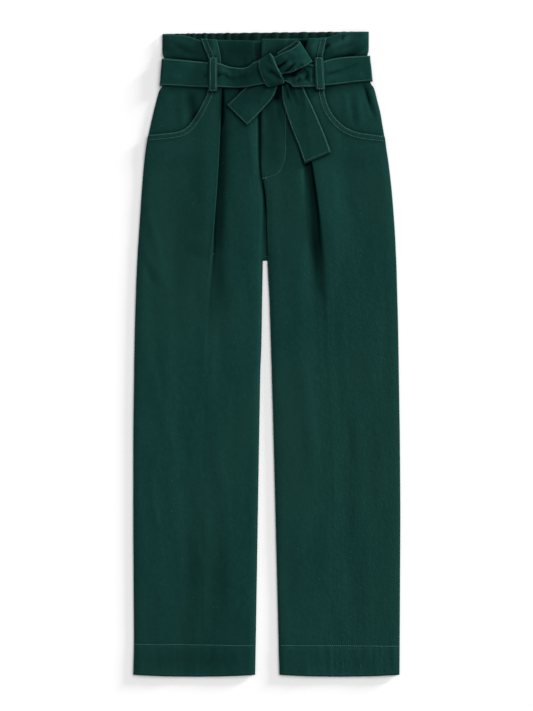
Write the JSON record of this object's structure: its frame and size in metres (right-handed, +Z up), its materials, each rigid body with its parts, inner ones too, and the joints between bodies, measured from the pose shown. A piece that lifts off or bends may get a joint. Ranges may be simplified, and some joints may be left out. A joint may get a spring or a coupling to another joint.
{
  "type": "paperbag waist trousers",
  "caption": "Trousers laid flat: gathered paperbag frill above a tied cloth belt in loops, knife-pleated fronts, scooped pockets, lapped fly and straight legs, in dark green cotton twill.",
  "frame": {"origin": "on the surface the trousers lie on, under the middle of their outline", "axes": "+Z up off the surface towards the front of the garment, +Y from the hems towards the waist, +X towards the wearer's left"},
  "size_m": [0.439, 1.06, 0.0235],
  "materials": {
    "green_twill": "matt cotton twill, dark bottle green",
    "green_twill_inside": "inside of the same twill, a little duller",
    "green_twill_belt": "the same twill, sewn double and topstitched"
  },
  "bodies": {
    "root": {"front_right": "green_twill", "front_left": "green_twill", "hip_right": "green_twill", "hip_left": "green_twill", "back_right": "green_twill", "back_left": "green_twill", "back_waist": "green_twill_inside", "belt_back": "green_twill_belt", "belt_front_right": "green_twill_belt", "belt_front_left": "green_twill_belt", "belt_loop_right": "green_twill_belt", "belt_loop_left": "green_twill_belt", "belt_tail_right": "green_twill_belt", "belt_tail_left": "green_twill_belt", "belt_bow": "green_twill_belt", "belt_knot": "green_twill_belt"}
  },
  "joints": []
}
